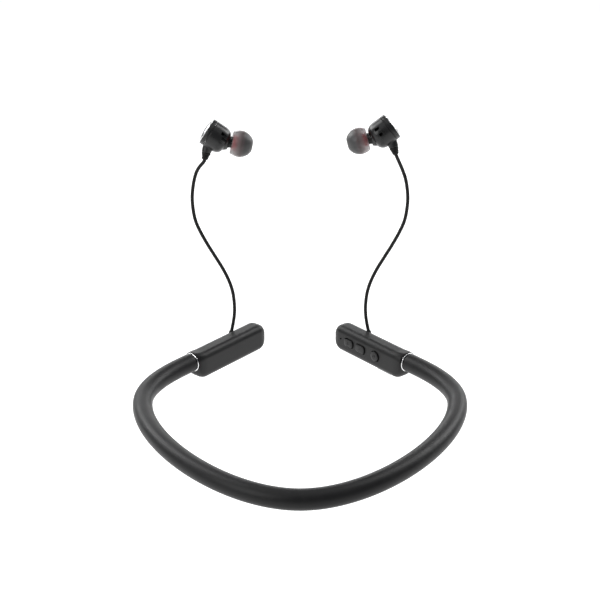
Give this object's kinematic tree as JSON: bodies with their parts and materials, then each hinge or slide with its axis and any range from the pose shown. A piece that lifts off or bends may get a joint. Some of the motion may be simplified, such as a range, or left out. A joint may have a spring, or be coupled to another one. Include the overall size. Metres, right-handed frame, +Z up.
{
  "type": "neckband earphones",
  "caption": "Wireless neckband earphones: a sprung silicone neckband with end pods, buttons on one pod, and in-ear buds on short cables",
  "frame": {"origin": "on the band's surface at the nape of the neck, where it rests on the wearer", "axes": "+Y from the nape towards the pods at the wearer's chest, +X towards the pod with the buttons, +Z up"},
  "size_m": [0.1514, 0.1659, 0.1221],
  "materials": {
    "band_silicone": "soft matte silicone",
    "pod_plastic": "satin soft-touch",
    "button_plastic": "satin soft-touch",
    "plain_plastic": "moulded",
    "bright_trim": "polished",
    "steel": "plain",
    "circuit_board": "solder mask",
    "battery_foil": "foil pouch",
    "cable_jacket": "matte jacket",
    "bud_plastic": "satin to glossy",
    "tip_silicone": "smoky translucent silicone",
    "tip_core_silicone": "red silicone"
  },
  "bodies": {
    "nape": {"sleeve_nape": "band_silicone", "memory_wire": "steel", "signal_harness": "cable_jacket"},
    "left_arm": {"left_sleeve": "band_silicone", "left_trim_ring": "bright_trim", "left_band_plug": "plain_plastic", "left_pod_shell": "pod_plastic", "left_pod_lid": "pod_plastic", "left_cable_grommet": "cable_jacket", "battery_cell": "battery_foil", "protection_board": "circuit_board"},
    "right_arm": {"right_sleeve": "band_silicone", "right_trim_ring": "bright_trim", "right_band_plug": "plain_plastic", "right_pod_shell": "pod_plastic", "right_pod_lid": "pod_plastic", "right_cable_grommet": "cable_jacket", "main_board": "circuit_board", "radio_module": "steel", "microphone": "steel", "volume_up_switch": "steel", "volume_down_switch": "steel", "power_switch": "steel", "charging_port": "steel"},
    "left_earbud": {"left_bud_front": "bud_plastic", "left_bud_rear": "bud_plastic", "left_bud_ring": "bright_trim", "left_bud_cap": "bright_trim", "left_driver": "steel", "left_magnet": "steel", "left_nozzle_mesh": "steel", "left_strain_relief": "cable_jacket", "left_cable": "cable_jacket"},
    "right_earbud": {"right_bud_front": "bud_plastic", "right_bud_rear": "bud_plastic", "right_bud_ring": "bright_trim", "right_bud_cap": "bright_trim", "right_driver": "steel", "right_magnet": "steel", "right_nozzle_mesh": "steel", "right_strain_relief": "cable_jacket", "right_cable": "cable_jacket"},
    "left_ear_tip": {"left_tip_dome": "tip_silicone", "left_tip_core": "tip_core_silicone"},
    "right_ear_tip": {"right_tip_dome": "tip_silicone", "right_tip_core": "tip_core_silicone"},
    "volume_up": {"volume_up_button": "button_plastic"},
    "volume_down": {"volume_down_button": "button_plastic"},
    "power": {"power_button": "button_plastic"}
  },
  "joints": [
    {"name": "left_flex", "type": "hinge", "parent": "nape", "child": "left_arm", "pos_m": [-0.04919, 0.0266, 0], "axis": [0, 0, 1], "range_deg": [-8, 15], "stiffness_Nm_per_rad": 0.3, "deforming": ["memory_wire", "signal_harness"]},
    {"name": "right_flex", "type": "hinge", "parent": "nape", "child": "right_arm", "pos_m": [0.04919, 0.0266, 0], "axis": [0, 0, -1], "range_deg": [-8, 15], "stiffness_Nm_per_rad": 0.3, "deforming": ["memory_wire", "signal_harness"]},
    {"name": "left_swing", "type": "hinge", "parent": "left_arm", "child": "left_earbud", "pos_m": [-0.03383, 0.14478, 0.00436], "axis": [-1, 0, 0], "range_deg": [-40, 150], "deforming": ["left_cable"]},
    {"name": "right_swing", "type": "hinge", "parent": "right_arm", "child": "right_earbud", "pos_m": [0.03383, 0.14478, 0.00436], "axis": [-1, 0, 0], "range_deg": [-40, 150], "deforming": ["right_cable"]},
    {"name": "left_tip_pull", "type": "slide", "parent": "left_earbud", "child": "left_ear_tip", "axis": [0.9771, 0.044, -0.2084], "range_m": [0, 0.012]},
    {"name": "right_tip_pull", "type": "slide", "parent": "right_earbud", "child": "right_ear_tip", "axis": [-0.9658, -0.014, -0.2587], "range_m": [0, 0.012]},
    {"name": "volume_up_press", "type": "slide", "parent": "right_arm", "child": "volume_up", "axis": [0.7682, 0.6402, 0], "range_m": [0, 0.0005], "stiffness_N_per_m": 1500},
    {"name": "volume_down_press", "type": "slide", "parent": "right_arm", "child": "volume_down", "axis": [0.7682, 0.6402, 0], "range_m": [0, 0.0005], "stiffness_N_per_m": 1500},
    {"name": "power_press", "type": "slide", "parent": "right_arm", "child": "power", "axis": [0.7682, 0.6402, 0], "range_m": [0, 0.0005], "stiffness_N_per_m": 1500}
  ]
}
